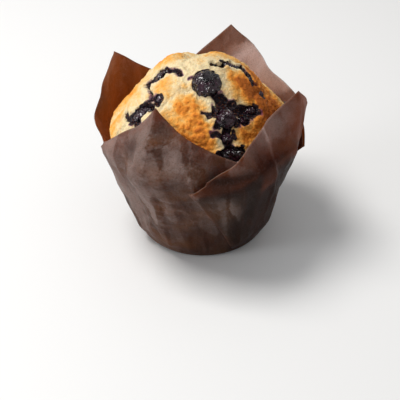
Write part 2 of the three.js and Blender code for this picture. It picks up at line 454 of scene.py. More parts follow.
@dataclass(frozen=True)
class PaperFinish:
    """Dark brown baking parchment with grease blotches, long grain and a faint wax sheen, with light and
    shade painted into its colour: lighter where light falls on, through or off it, darker on the shaded
    right-hand petal.

    The scales count repeats in a millimetre, across and along where there are two.
    """

    name: str = "brown_parchment"
    body: tuple = rgba(0.062, 0.038, 0.027)
    dusty: tuple = rgba(0.134, 0.106, 0.093)
    # Light paper colour that paints where light falls on, shines through or reflects off the sheet, over a
    # random dry tone; pale paints the brightest of these highlights.
    dry_and_lit: tuple = rgba(0.292, 0.234, 0.209)
    pale: tuple = rgba(0.640, 0.560, 0.530)
    # Near-black brown for grease, dark streaks and fibres, and the painted shade of the soaked patches.
    grease_and_shade: tuple = rgba(0.011, 0.0055, 0.0035)
    warm: tuple = rgba(0.115, 0.053, 0.024)
    light_through: tuple = rgba(1.0, 0.42, 0.14)
    through_share: float = 0.32
    fibre_scale: float = 1.9
    mottle_scale: float = 0.11
    blotch_scale: float = 0.06
    wax_scale: float = 0.30
    streak_scale: tuple = (1.8, 0.30)
    crumple_scale: tuple = (0.30, 0.07)
    roughness: float = 0.48
    gloss: float = 0.06

    def make(self, grain: bpy.types.NodeTree) -> bpy.types.Material:
        """Builds the material on the flat sheet's coordinates and the standing wall's.

        Args:
            grain: The shared grain group.

        Returns:
            The material.
        """
        finish = Finish(self.name, grain)
        board = finish.board
        flat = board.scaled(board.uv("sheet"), SHEET_SIZE, SHEET_SIZE)
        wall = board.uv("wall")
        fibre, mottle = finish.grain(flat, self.fibre_scale, self.mottle_scale)
        streak = board.noise(board.scaled(wall, *self.streak_scale), 1.0, 5.0, 0.72)
        blotch = board.noise(flat, self.blotch_scale, 6.0, 0.68)
        wax = board.noise(flat, self.wax_scale, 6.0, 0.75)
        # Painted light and shade on the wall, with a random wax tone over it.
        dryness_and_light = board.plus(board.mask("dry_and_lit"), board.swing(wax))
        # Grease with painted shade: the soaked patches and random blotches.
        soak_and_shade = board.plus(board.mask("soaked"), board.swing(blotch))
        # Creases lightened, partly by wear and partly as painted highlight where they catch light, less
        # where the paper is greasy or shaded.
        rubbed_and_lit = board.math("SUBTRACT", board.mask("crease_wear_and_highlight"), board.span(soak_and_shade, 0.0, 0.6, 0.0, 0.38))
        rubbed_and_lit = board.math("MULTIPLY", rubbed_and_lit, board.span(wax, 0.40, 0.58, 0.35, 1.0))
        colour = board.layered(
            self.body,
            (
                (self.warm, mottle, 0.40, 0.66, 1.0),
                (self.dusty, wax, 0.48, 0.66, 0.50),
                (self.dusty, streak, 0.52, 0.70, 0.30),
                (self.grease_and_shade, streak, 0.48, 0.32, 0.50),
                # Painted light in the light paper colour, and painted highlights in pale where it is
                # strongest.
                (self.dry_and_lit, dryness_and_light, 0.05, 1.0, 0.90),
                (self.pale, dryness_and_light, 1.0, 1.8, 1.0),
                (self.grease_and_shade, soak_and_shade, 0.10, 0.75, 0.92),
                (self.dry_and_lit, rubbed_and_lit, 0.3, 1.0, 0.30),
                (self.grease_and_shade, fibre, 0.51, 0.38, 0.45),
                (self.dusty, fibre, 0.51, 0.64, 0.45),
            ),
        )
        shine = board.plus(board.span(soak_and_shade, 0.10, 0.75, 0.0, 0.10), board.span(wax, 0.35, 0.65, 0.0, 0.12))
        fine = finish.bump(fibre, 0.55, 0.22)
        streaked = finish.bump(streak, 0.4, 0.30, fine)
        normal = finish.bump(board.facets(board.scaled(wall, *self.crumple_scale)), 0.45, 1.0, streaked)
        finish.set(
            Base_Color=colour,
            Roughness=board.math("SUBTRACT", self.roughness, shine),
            Normal=normal,
            Specular_IOR_Level=self.gloss,
        )
        glow = board.add("BsdfTranslucent", Color=self.light_through, Normal=normal)
        mixed = board.add("MixShader", Fac=self.through_share)
        board.feed(mixed, 1, finish.shader.outputs[0])
        board.feed(mixed, 2, glow.outputs[0])
        board.feed(finish.output, "Surface", mixed.outputs[0])
        return finish.material


@dataclass(frozen=True)
class CutEdgeFinish:
    """The sheet's cut edge, a lighter brown than the sheet: a painted highlight along the edge. Its scales
    count repeats in a metre.
    """

    name: str = "parchment_edge"
    # A lighter brown that paints the highlight the cut edge catches.
    colour: tuple = rgba(0.23, 0.135, 0.09)
    shade: tuple = rgba(0.12, 0.065, 0.043)
    fibre_scale: float = 1500.0
    mottle_scale: float = 160.0

    def make(self, grain: bpy.types.NodeTree) -> bpy.types.Material:
        """Builds the material on object coordinates.

        Args:
            grain: The shared grain group.

        Returns:
            The material.
        """
        finish = Finish(self.name, grain)
        place = finish.board.add("TexCoord").outputs["Object"]
        fibre, mottle = finish.grain(place, self.fibre_scale, self.mottle_scale)
        colour = finish.board.layered(self.colour, ((self.shade, mottle, 0.35, 0.65, 1.0),))
        finish.set(Base_Color=colour, Roughness=0.75, Normal=finish.bump(fibre, 0.4, 0.05))
        return finish.material


@dataclass(frozen=True)
class CrumbFinish:
    """Baked crust and crumb: pale cream where it split, golden to brown where it stood up.

    The scales count repeats in a metre.
    """

    name: str = "baked_crust"
    cream: tuple = rgba(0.76, 0.62, 0.37)
    straw: tuple = rgba(0.77, 0.50, 0.205)
    golden: tuple = rgba(0.80, 0.39, 0.085)
    amber: tuple = rgba(0.77, 0.26, 0.028)
    toast: tuple = rgba(0.42, 0.110, 0.011)
    juice: tuple = rgba(0.010, 0.004, 0.009)
    plum: tuple = rgba(0.17, 0.042, 0.125)
    crumb_scale: float = 1300.0
    mottle_scale: float = 170.0
    plate_scale: float = 480.0
    roughness: float = 0.80
    gloss: float = 0.22
    softness: float = 0.08
    soft_radius: tuple = (1.0, 0.5, 0.22)
    soft_depth: float = 1.2

    def make(self, grain: bpy.types.NodeTree) -> bpy.types.Material:
        """Builds the material from the masks painted on the cake.

        Args:
            grain: The shared grain group.

        Returns:
            The material.
        """
        finish = Finish(self.name, grain)
        board = finish.board
        place = board.add("TexCoord").outputs["Object"]
        crumb, mottle = finish.grain(place, self.crumb_scale, self.mottle_scale)
        plates = board.noise(place, self.plate_scale, 4.0, 0.6)
        speckle = board.swing(plates, 0.80)
        brown = board.plus(speckle, board.swing(mottle, 0.30), board.mask("browning"))
        colour = board.ramp(
            brown,
            (
                (0.12, self.cream),
                (0.34, self.straw),
                (0.54, self.golden),
                (0.78, self.amber),
                (1.0, self.toast),
            ),
        )
        stain = board.plus(board.mask("juice"), board.math("MULTIPLY", speckle, 0.9))
        soaked = board.math("MULTIPLY", board.span(stain, 0.14, 0.40), board.span(mottle, 0.46, 0.60))
        colour = board.blend(board.math("MULTIPLY", soaked, 0.85), colour, self.plum)
        colour = board.layered(
            colour, ((self.juice, stain, 0.36, 0.54, 1.0), (self.toast, crumb, 0.45, 0.30, 0.50))
        )
        wet = board.span(stain, 0.45, 0.8, 0.0, 0.58)
        finish.set(
            Base_Color=colour,
            Roughness=board.math("SUBTRACT", self.roughness, wet),
            Normal=finish.bump(plates, 0.9, 1.3, finish.bump(crumb, 0.8, 0.45)),
            Subsurface_Weight=self.softness,
            Subsurface_Radius=self.soft_radius,
            Subsurface_Scale=self.soft_depth * MM,
            Specular_IOR_Level=self.gloss,
        )
        return finish.material


@dataclass(frozen=True)
class SkinFinish:
    """Cooked blueberry skin: near black, wrinkled, wet in its hollows.

    The scales count repeats in a metre.
    """

    name: str = "blueberry_skin"
    dark: tuple = rgba(0.005, 0.003, 0.005)
    violet: tuple = rgba(0.034, 0.008, 0.018)
    bloom: tuple = rgba(0.090, 0.078, 0.120)
    pore_scale: float = 1600.0
    mottle_scale: float = 230.0
    fold_scale: float = 340.0
    dent_scale: float = 300.0
    gloss: float = 0.12
    wetness: float = 1.0
    wet_roughness: float = 0.04

    def make(self, grain: bpy.types.NodeTree) -> bpy.types.Material:
        """Builds the material on object coordinates.

        Args:
            grain: The shared grain group.

        Returns:
            The material.
        """
        finish = Finish(self.name, grain)
        board = finish.board
        place = board.add("TexCoord").outputs["Object"]
        pores, mottle = finish.grain(place, self.pore_scale, self.mottle_scale)
        colour = board.layered(self.dark, ((self.violet, mottle, 0.36, 0.62, 1.0),))
        dusty = board.math("MULTIPLY", board.mask("bloom"), board.span(pores, 0.35, 0.7))
        colour = board.blend(board.math("MULTIPLY", dusty, 0.75), colour, self.bloom)
        folds = board.math("ABSOLUTE", board.swing(board.noise(place, self.fold_scale, 1.0, 0.5)))
        dented = finish.bump(board.facets(place, self.dent_scale), 0.6, 1.0)
        normal = finish.bump(board.span(folds, 0.11, 0.0), 1.0, 1.1, dented)
        finish.set(
            Base_Color=colour,
            Roughness=board.span(mottle, 0.3, 0.7, 0.20, 0.40),
            Normal=finish.bump(pores, 0.3, 0.1, normal),
            Specular_IOR_Level=self.gloss,
            Coat_Weight=self.wetness,
            Coat_Roughness=self.wet_roughness,
            Coat_Normal=normal,
        )
        return finish.material


# ------------------------------------------------------------------ pieces in general


def finished_piece(
    name: str, mesh: bmesh.types.BMesh, materials: tuple, node: str
) -> bpy.types.Object:
    """Turns a bmesh into a piece of the muffin and tells the frame about it.

    Args:
        name: The piece's name.
        mesh: Its mesh, in millimetres. It is freed here.
        materials: Its materials in slot order.
        node: The CAD node that it stands for.

    Returns:
        The new object.
    """
    bmesh.ops.scale(mesh, vec=(MM, MM, MM), verts=mesh.verts)
    for face in mesh.faces:
        face.smooth = True
    data = bpy.data.meshes.new(name)
    mesh.to_mesh(data)
    mesh.free()
    for material in materials:
        data.materials.append(material)
    piece = bpy.data.objects.new(name, data)
    bpy.context.scene.collection.objects.link(piece)
    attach(piece, BODY)
    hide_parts(node)
    LOG.info("%s: %d faces", name, len(data.polygons))
    return piece


# ------------------------------------------------------------------ crown and berries


@dataclass(frozen=True)
class Hump:
    """A soft swelling of the crown."""

    x: float
    y: float
    height: float
    spread: float

    def rise(self, x: float, y: float) -> float:
        """How much it lifts the crown at a plan position."""
        away = math.hypot(x - self.x, y - self.y) / self.spread
        return self.height * math.exp(-away * away)


@dataclass(frozen=True)
class Crown:
    """The smooth dome that the crust's relief stands on."""

    radius: float
    top: float
    base: float = 51.0
    power: float = 1.1
    humps: tuple = (
        Hump(-15, 15, 4.2, 9),
        Hump(8, 13, 1.6, 8),
        Hump(-4, 11, -2.6, 6),
        Hump(24, -8, 0.5, 7),
        Hump(4, 24, 0.7, 8),
    )
    slope_step: float = 0.5

    @classmethod
    def from_frame(cls) -> "Crown":
        """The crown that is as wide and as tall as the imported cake."""
        low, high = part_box("muffin_cake")
        return cls(radius=round((high[0] - low[0]) / 2.0 / MM, 3), top=round(high[2] / MM, 3))

    @property
    def rise(self) -> float:
        """How far the top stands over the widest ring."""
        return self.top - self.base

    def height(self, x: float, y: float) -> float:
        """Height of the crown over a plan position.

        Args:
            x: Plan position.
            y: Plan position.

        Returns:
            The height.
        """
        share = min((x * x + y * y) / self.radius**2, 1.0)
        humps = sum(hump.rise(x, y) for hump in self.humps)
        return self.base + self.rise * (1.0 - share) ** self.power + humps * (1.0 - share)

    def normal(self, x: float, y: float) -> Vector:
        """Outward normal of the crown over a plan position.

        Args:
            x: Plan position.
            y: Plan position.

        Returns:
            The unit normal.
        """
        step = self.slope_step
        east = (self.height(x + step, y) - self.height(x - step, y)) / (2.0 * step)
        north = (self.height(x, y + step) - self.height(x, y - step)) / (2.0 * step)
        return Vector((-east, -north, 1.0)).normalized()

    def radius_at(self, z: float) -> float:
        """Radius of the crown at a height."""
        share = min(max((z - self.base) / self.rise, 0.0), 1.0)
        return self.radius * math.sqrt(1.0 - share ** (1.0 / self.power))


@dataclass(frozen=True)
class Berry:
    """One blueberry: where it sits in the crust, its half sizes and its state.

    heading is the plan direction of its length, and proud how far it stands out.
    calyx tilts its crown ring away from straight up, in degrees, or is None where
    the ring is buried. slack is the depth of the skin's wrinkles.
    """

    name: str
    at: tuple
    size: tuple
    heading: float
    proud: float
    bowed: bool = False
    slack: float = 0.3
    calyx: float | None = None
    bloom: float = 0.15

    def place(self, crown: Crown) -> Matrix:
        """Matrix from the berry's own axes to its place in the crust.

        Args:
            crown: The crown that it sits in.

        Returns:
            The matrix.
        """
        normal = crown.normal(*self.at)
        across = normal.cross(polar(self.heading, 1.0, 0.0)).normalized()
        along = across.cross(normal)
        centre = Vector((*self.at, crown.height(*self.at))) + normal * (self.proud - self.size[2])
        turn = Matrix((along, across, normal)).transposed().to_4x4()
        return Matrix.Translation(centre) @ turn


BERRIES = (
    Berry("crown", (1.6, -12.5), (6.5, 6.4, 5.6), 20, 3.6, slack=0.60, bloom=0.03),
    Berry("mid", (9.2, -23.0), (4.5, 4.5, 4.5), -75, 2.4, slack=0.40, calyx=16, bloom=0.03),
    Berry("mid_right", (16.4, -21.0), (2.6, 2.3, 2.6), 10, 0.9, slack=0.65, bloom=0.10),
    Berry("right", (20.2, -15.8), (3.0, 2.0, 2.4), 33, 0.35, slack=0.60, bloom=0.05),
    Berry("lower", (9.3, -28.6), (2.2, 2.0, 2.4), 80, 1.0, slack=0.55, bloom=0.5),
    Berry("low", (11.6, -32.2), (6.4, 3.0, 3.0), 20, 0.35, True, slack=0.60, bloom=0.10),
    Berry("left", (-25.8, -12.6), (5.6, 3.0, 3.2), 10, 0.5, True, slack=0.70, bloom=0.15),
    Berry("left_small", (-18.0, -13.4), (2.3, 1.7, 2.2), 60, 0.2, slack=0.70, bloom=0.55),
    Berry("upper_left", (-17.9, -0.6), (5.0, 2.2, 2.4), 20, 0.6, True, slack=0.65, bloom=0.12),
    Berry("back", (12.0, 1.0), (4.2, 1.6, 2.0), 4, 0.7, True, slack=0.50, bloom=0.12),
    Berry("back_right", (19.0, -1.9), (2.6, 1.0, 1.5), -45, 0.4, True, slack=0.30),
    Berry("right_small", (24.6, -4.6), (1.4, 1.1, 1.4), 0, 0.2, slack=0.15),
    Berry("rear", (-4.0, 29.5), (5.4, 5.2, 5.0), 70, 2.0, slack=0.50, calyx=35),
    Berry("rear_left", (-22.0, 19.0), (5.6, 3.4, 3.6), 130, 1.2, True, slack=0.55, bloom=0.35),
    Berry("rear_right", (17.5, 23.0), (5.4, 5.2, 5.0), 40, 2.4, slack=0.45),
    Berry("rear_low", (7.5, 33.0), (5.2, 3.2, 3.4), 10, 0.8, True, slack=0.50, bloom=0.25),
)


@dataclass(frozen=True)
class Blueberries:
    """Builds every blueberry of the muffin."""

    crown: Crown
    skin: bpy.types.Material
    subdivisions: int = 5
    ring_radius: float = 0.46
    ring_width: float = 0.085
    ring_height: float = 0.62
    ring_points: float = 5.0
    hollow_radius: float = 0.15
    hollow_depth: float = 0.75
    fold_size: float = 3.0
    sag_size: float = 4.0
    bloom_size: float = 2.6

    def ring_lift(self, berry: Berry, spot: Vector) -> float:
        """Relief of the calyx: a raised star-edged ring round a hollow.

        Args:
            berry: The berry.
            spot: A point on the unit sphere, in the berry's own axes.

        Returns:
            The lift in millimetres.
        """
        if berry.calyx is None:
            return 0.0
        axis = Euler((0.0, math.radians(berry.calyx), 0.0)).to_matrix() @ Vector((0, 0, 1))
        away = spot.angle(axis)
        side = spot - axis * spot.dot(axis)
        turn = math.atan2(side.y, side.x)
        radius = self.ring_radius * (1.0 + 0.10 * math.cos(self.ring_points * turn))
        rim = math.exp(-(((away - radius) / self.ring_width) ** 2))
        hollow = 1.0 - smoothstep(away, self.hollow_radius, radius)
        return self.ring_height * rim - self.hollow_depth * hollow

    def wrinkle_lift(self, berry: Berry, point: Vector, seed: float) -> float:
        """Relief of the slack skin at a point of the smooth berry, from broad sags to fine folds.

        Args:
            berry: The berry.
            point: The point, in the berry's own axes.
            seed: Which wrinkles to use.

        Returns:
            The lift in millimetres.
        """
        fold = ridges(point, self.fold_size, seed) ** 2
        fold += 0.35 * ridges(point, self.fold_size / 2.0, seed + 9.0) ** 2
        return berry.slack * (fold - 1.0 + 0.8 * lumps(point, self.sag_size, seed + 4.0))

    def build(self, berry: Berry) -> bpy.types.Object:
        """Builds one berry with its wrinkles, ring and bloom.

        Args:
            berry: The berry.

        Returns:
            The finished piece.
        """
        mesh = bmesh.new()
        bmesh.ops.create_icosphere(mesh, subdivisions=self.subdivisions, radius=1.0)
        bloom = mesh.verts.layers.float.new("bloom")
        place = berry.place(self.crown)
        seed = 3.7 * BERRIES.index(berry)
        half = Vector(berry.size)
        for vert in mesh.verts:
            spot = vert.co.normalized()
            point = spot * half
            point += spot * (self.wrinkle_lift(berry, point, seed) + self.ring_lift(berry, spot))
            if berry.bowed:
                point.z -= point.x**2 / (2.0 * self.crown.radius)
            vert[bloom] = berry.bloom * smoothstep(lumps(point, self.bloom_size, seed + 2.0), -0.3, 0.6)
            vert.co = place @ point
        node = "blueberry_" + berry.name
        return finished_piece(node + "_skin", mesh, (self.skin,), node)

    def build_all(self) -> list[bpy.types.Object]:
        """Builds all the berries in order."""
        return [self.build(berry) for berry in BERRIES]


# ------------------------------------------------------------------ cake


@dataclass(frozen=True)
class Crack:
    """A split in the crust along a plan path."""

    path: tuple
    depth: float
    width: float
    juicy: float = 0.0


@dataclass(frozen=True)
class Patch:
    """A round patch of the crust in plan, where something is stronger."""

    x: float
    y: float
    spread: float
    amount: float

    def at(self, x: float, y: float) -> float:
        """Its amount at a plan position."""
        away = math.hypot(x - self.x, y - self.y) / self.spread
        return self.amount * math.exp(-away * away)


CRACKS = (
    Crack(((-8.3, -6.8), (-11.7, -3), (-14.6, -0.2), (-17.5, 1.7), (-22, 0), (-22, -5)), 1.8, 0.9, 0.85),
    Crack(((-22, -5), (-21.2, -9.4), (-18.6, -13)), 1.3, 0.6, 0.6),
    Crack(((-21, -14.5), (-25.5, -14), (-31, -9.4), (-32, -7)), 1.6, 1.3, 0.75),
    Crack(((3.8, -2.7), (6.9, -2.5), (9.6, -0.2), (11.7, 2.4), (14.6, 2.2)), 1.6, 0.9, 0.8),
    Crack(((14.6, 2.2), (16.7, -0.2), (20, -3.5), (21.7, -2.3)), 1.6, 0.8, 0.85),
    Crack(((4.6, -17), (7.5, -19), (13, -19.3), (17, -18), (21.8, -15)), 1.2, 1.5, 1.0),
    Crack(((9.4, -26), (9.6, -29.5), (12, -33)), 1.3, 1.9, 0.9),
    Crack(((-0.6, -22.4), (1.8, -23.2), (4.6, -22.2)), 0.9, 0.6, 0.75),
    Crack(((3.5, -28.2), (7.2, -28.3)), 0.9, 0.6, 0.85),
    Crack(((-14, 25), (-4, 29), (6, 27), (19, 22)), 2.0, 1.4, 0.6),
    Crack(((-25, 14), (-22, 20), (-17, 26)), 1.6, 1.3, 0.7),
    Crack(((26, 8), (21, 16), (18, 24)), 1.2, 1.4, 0.3),
    Crack(((-7.5, 7), (-1.5, 15)), 1.3, 3.6),
)
LOBES = (
    (-16, -9), (-9, -11), (-8, -18.5), (2.9, -19.6), (-3, -26), (-12, -24), (6, -34),
    (17.5, -8.5), (9.5, -10), (26, -12), (18, -26), (-30, -3), (-28, -19), (-12, 4), (-1, 1),
    (-15, 15), (8, 12), (22, 5), (33, 2), (-25, 16), (-9, 25), (6, 25), (20, 19), (-2, 35), (-34, 9),
    (19, 30), (-18, 31), (33, 15), (11, -29),
)
BROWN_PATCHES = (
    Patch(-6, -20, 7, 0.34),
    Patch(0, -28, 8, 0.36),
    Patch(-9, -27, 8, 0.26),
    Patch(-16, -9, 4.2, 0.36),
    Patch(17.5, -8.5, 6.5, 0.68),
    Patch(26, -11, 7.5, 0.66),
    Patch(28, -2, 9, 0.60),
    Patch(17, -25.5, 6, 0.50),
    Patch(23, -19, 5.5, 0.40),
    Patch(-31, -3, 9, 0.02),
    Patch(-13, 8, 5.5, 0.42),
    Patch(-15, 17, 6, 0.40),
    Patch(5, 10, 5.5, 0.32),
    Patch(20, 6, 5.0, 0.52),
    Patch(-37, -4, 5, 0.32),
    Patch(-34, 8, 6, 0.26),
    Patch(0, -38, 9, 0.24),
    Patch(20, 20, 11, 0.36),
    Patch(-10, 32, 11, 0.38),
    Patch(-27, 15, 8, 0.20),
    Patch(10, -11, 3.6, -0.24),
    Patch(-8, -7, 6, -0.20),
    Patch(2.9, -19.6, 3.0, -0.40),
    Patch(3.5, -31.5, 5.0, 0.16),
    Patch(13.5, -7.0, 3.5, 0.14),
    Patch(16.0, -30.5, 5.0, 0.12),
    Patch(-3.0, -16.0, 4.0, -0.10),
    Patch(0, 0, 9, -0.14),
)
CRAGGY_PATCHES = (
    Patch(-3, -25, 10, 1.3),
    Patch(8, -31, 8, 1.0),
    Patch(19, -21, 8, 0.9),
    Patch(-16, -9, 5, 0.5),
    Patch(-14, 24, 12, 0.8),
    Patch(24, 16, 9, 0.7),
)
JAM_PATCHES = (
    Patch(7.5, -18.6, 3.0, 1.0),
    Patch(12.5, -19.0, 2.9, 1.0),
    Patch(16.5, -18.6, 2.3, 0.95),
    Patch(4.8, -22.2, 2.0, 0.95),
    Patch(5.6, -25.8, 1.7, 0.9),
    Patch(12.8, -26.8, 1.5, 0.8),
    Patch(13.2, -23.5, 1.9, 0.8),
    Patch(9.6, -27.4, 2.3, 0.95),
    Patch(-4.6, -10.6, 1.5, 0.45),
    Patch(-31.3, -8.8, 2.1, 0.5),
    Patch(-20.6, -11.2, 1.7, 0.8),
    Patch(-21.3, -13.8, 1.7, 0.9),
    Patch(-26.5, -15.8, 2.4, 0.85),
    Patch(-10.5, -4.4, 1.6, 0.55),
    Patch(-20.0, -1.5, 2.6, 0.8),
    Patch(5.4, -2.4, 1.5, 0.5),
)


@dataclass
class Crust:
    """The crust at one point: its lift, how brown it baked and how much juice it holds."""

    lift: float
    browning: float
    juice: float = 0.0


@dataclass(frozen=True)
class BakedCake:
    """The cake: a grid drawn over the crown, and a skirt down to the floor."""

    crown: Crown
    crust: bpy.types.Material
    grid: int = 286
    rim_height: float = 46.0
    rim_inset: float = 0.3
    waist: tuple = ((38.2, 42.0), (33.6, 26.0), (27.6, 4.2), (24.6, 0.9))
    waist_browning: float = 0.62
    profile_steps: int = 200
    levels: int = 40
    whole_berry: float = 1.1
    berry_reach: float = 3.5
    crack_reach: float = 4.0
    deepest_socket: float = 3.2

    @cached_property
    def sockets(self) -> list[tuple[Berry, Matrix]]:
        """Each berry with the matrix into its own axes."""
        return [(berry, berry.place(self.crown).inverted()) for berry in BERRIES]

    def profile(self) -> list[Vector]:
        """Points down the crown from its top to the grid's rim, evenly spaced.

        Returns:
            The points, as radius and height.
        """
        raw = []
        for i in range(self.profile_steps + 1):
            turn = math.pi / 2.0 * (1.0 - i / self.profile_steps)
            radius = self.crown.radius * math.cos(turn)
            raw.append(Vector((radius, self.crown.height(radius, 0.0))))
        raw.append(Vector((self.crown.radius - self.rim_inset, self.rim_height)))
        return [point for point, _ in evenly(raw, self.levels)]

    @staticmethod
    def to_disc(x: float, y: float) -> tuple[float, float]:
        """A point of the unit square moved to the unit disc, as share and angle.

        Args:
            x: Place on the square, from -1 to 1.
            y: Place on the square, from -1 to 1.

        Returns:
            The share of the disc's radius and the angle.
        """
        if abs(x) < 1e-9 and abs(y) < 1e-9:
            return 0.0, 0.0
        if abs(x) > abs(y):
            return abs(x), math.pi / 4.0 * y / x + (math.pi if x < 0 else 0.0)
        return abs(y), math.pi / 2.0 - math.pi / 4.0 * x / y + (math.pi if y < 0 else 0.0)

    def nearest_berry(self, point: Vector) -> tuple[Berry | None, float]:
        """The berry whose middle is nearest to a point, counted in the berry's own sizes.

        Args:
            point: A point of the crown.

        Returns:
            The berry, or None with none near, and how many berry sizes away it is.
        """
        nearest, least = None, self.berry_reach
        for berry, inverse in self.sockets:
            if abs(point.x - berry.at[0]) + abs(point.y - berry.at[1]) > 2.2 * berry.size[0] + 6.0:
                continue
            local = inverse @ point
            reach = math.hypot(local.x / berry.size[0], local.y / berry.size[1])
            if reach < least:
                nearest, least = berry, reach
        return nearest, least

    @staticmethod
    def lobe_border(point: Vector) -> float:
        """How deep a point lies in the split between two lobes of the crust, from 0 to 1.

        Args:
            point: A point of the smooth crown.

        Returns:
            The depth.
        """
        x = point.x + 1.8 * lumps(point, 6.0, 51.0)
        y = point.y + 1.8 * lumps(point, 6.0, 52.0)
        near, second = sorted(math.hypot(x - lobe[0], y - lobe[1]) for lobe in LOBES)[:2]
        return math.exp(-(((second - near) / 1.7) ** 2))

    def baked(self, point: Vector) -> Crust:
        """The crust before anything burst: its lobes, its crumbly plates and its browning.

        Args:
            point: A point of the smooth crown.

        Returns:
            The crust there.
        """
        craggy = min(sum(patch.at(point.x, point.y) for patch in CRAGGY_PATCHES), 1.0)
        split = self.lobe_border(point)
        lift = 0.55 * lumps(point, 12.0, 1.0) + 0.30 * lumps(point, 5.5, 2.0) - 0.55 * split
        lift += 0.17 * lumps(point, 1.7, 3.0) + 0.12 * lumps(point, 0.95, 5.0)
        flat_crumb = Vector((0.5 * point.x, point.y, point.z))
        _, plate, _ = cells(flat_crumb, 2.6, 6.0)
        crag = 0.30 * smoothstep(plate, 0.0, 0.45) - 0.18 + 0.30 * lumps(flat_crumb, 1.5, 7.0)
        lift += craggy * (crag + 0.16 * lumps(flat_crumb, 0.8, 8.0))
        browning = 0.30 + sum(patch.at(point.x, point.y) for patch in BROWN_PATCHES) - 0.16 * split
        browning += 0.10 * lumps(point, 8.0, 8.0) + 0.09 * lumps(point, 3.5, 9.0) + 0.30 * craggy * crag
        return Crust(lift, browning)

    def open_cracks(self, crust: Crust, x: float, y: float) -> None:
        """Opens the cracks near a plan position: raised lips, paler crumb and juice along them.

        Args:
            crust: The crust to change.
            x: Plan position that the cracks are measured from.
            y: Plan position that the cracks are measured from.
        """
        for crack in CRACKS:
            away = along_path(x, y, crack.path) / crack.width
            if away > self.crack_reach:
                continue
            crust.lift += crack.depth * (0.20 * math.exp(-((away - 2.1) ** 2)) - math.exp(-away * away))
            crust.browning -= 0.16 * math.exp(-((away / 2.4) ** 2))
            crust.juice = max(crust.juice, crack.juicy * math.exp(-((away / 1.3) ** 2)))

    @staticmethod
    def sink_jam(crust: Crust, point: Vector, x: float, y: float) -> None:
        """Sinks the jammy hollows, where berries burst, into the crust.

        Args:
            crust: The crust to change.
            point: The point of the smooth crown.
            x: Plan position that the hollows are measured from.
            y: Plan position that the hollows are measured from.
        """
        jam = max(patch.at(x, y) for patch in JAM_PATCHES)
        bumpy = 0.5 * lumps(point, 2.2, 17.0) + 0.3 * ridges(point, 1.6, 18.0)
        crust.lift += smoothstep(jam, 0.35, 0.75) * (-0.9 + bumpy)
        crust.juice = max(crust.juice, 1.15 * jam)

    def seat_berry(self, crust: Crust, point: Vector) -> None:
        """Sinks the nearest berry's socket, with a raised lip and a stain of uneven width.

        Args:
            crust: The crust to change.
            point: The point of the smooth crown.
        """
        berry, reach = self.nearest_berry(point)
        if berry is None:
            return
        half = berry.size[1]
        beyond = (reach - 1.0) * half + 0.35 * lumps(point, 2.6, 23.0)
        whole = berry.proud > self.whole_berry
        edge = -0.13 * half if whole else -0.02 * half
        inside = 1.0 - smoothstep(beyond, edge - 0.08 * half, edge + 0.06 * half)
        lip = (0.13 if whole else 0.05) * half * math.exp(-(((beyond - edge) / 1.3) ** 2))
        stain = lerp(0.25, 2.0, smoothstep(lumps(point, 4.2, 21.0), 0.10, 0.55))
        crust.lift = lerp(crust.lift + lip, -min(half, self.deepest_socket), inside)
        crust.browning -= 0.16 * math.exp(-((beyond / 2.6) ** 2))
        crust.juice = max(crust.juice, 1.0 - smoothstep(beyond, edge, edge + stain), inside)

    def crust_at(self, point: Vector) -> Crust:
        """The finished crust at a point of the smooth crown.

        Args:
            point: The point.

        Returns:
            The crust there.
        """
        crust = self.baked(point)
        wander = Vector((0.8 * lumps(point, 3.4, 11.0), 0.8 * lumps(point, 3.4, 14.0)))
        x, y = point.x + wander.x, point.y + wander.y
        self.open_cracks(crust, x, y)
        self.sink_jam(crust, point, x, y)
        self.seat_berry(crust, point)
        return crust

    def build(self) -> bpy.types.Object:
        """Builds the cake with its painted masks.

        Returns:
            The finished piece.
        """
        mesh = bmesh.new()
        bmesh.ops.create_grid(mesh, x_segments=self.grid, y_segments=self.grid, size=1.0)
        brown = mesh.verts.layers.float.new("browning")
        juice = mesh.verts.layers.float.new("juice")
        profile = self.profile()
        for vert in mesh.verts:
            share, angle = self.to_disc(vert.co.x, vert.co.y)
            spot = min(share * self.levels, self.levels - 1e-6)
            ring = profile[int(spot)].lerp(profile[int(spot) + 1], spot - int(spot))
            x, y = ring.x * math.cos(angle), ring.x * math.sin(angle)
            z = self.crown.height(x, y) if ring.y > self.crown.base else ring.y
            point = Vector((x, y, z))
            crust = self.crust_at(point)
            vert[brown], vert[juice] = crust.browning, crust.juice
            fade = smoothstep(z, self.rim_height, self.crown.base + 3.0)
            vert.co = point + self.crown.normal(x, y) * (crust.lift * fade)
        self.add_skirt(mesh, brown)
        return finished_piece("baked_cake", mesh, (self.crust,), "muffin_cake")

    def add_skirt(self, mesh: bmesh.types.BMesh, brown: object) -> None:
        """Draws the rim down inside the liner and closes the floor.

        Args:
            mesh: The crown's mesh.
            brown: The layer that holds the browning.
        """
        edges = [edge for edge in mesh.edges if edge.is_boundary]
        for radius, height in self.waist:
            made = bmesh.ops.extrude_edge_only(mesh, edges=edges)["geom"]
            edges = [part for part in made if isinstance(part, bmesh.types.BMEdge)]
            for vert in {vert for edge in edges for vert in edge.verts}:
                plan = vert.co.xy.normalized() * radius
                vert.co = (plan.x, plan.y, height)
                vert[brown] = self.waist_browning
        bmesh.ops.holes_fill(mesh, edges=edges, sides=0)
        bmesh.ops.recalc_face_normals(mesh, faces=mesh.faces)


# ------------------------------------------------------------------ liner


@dataclass(frozen=True)
class Petal:
    """One corner of the sheet: the stretch of base ring it grows from, and its two edges.

    rise runs from the outer fold to the tip, and fall from the tip to the inner
    fold, each point being direction in degrees, radius and height.
    """

    foot: tuple
    rise: tuple
    fall: tuple


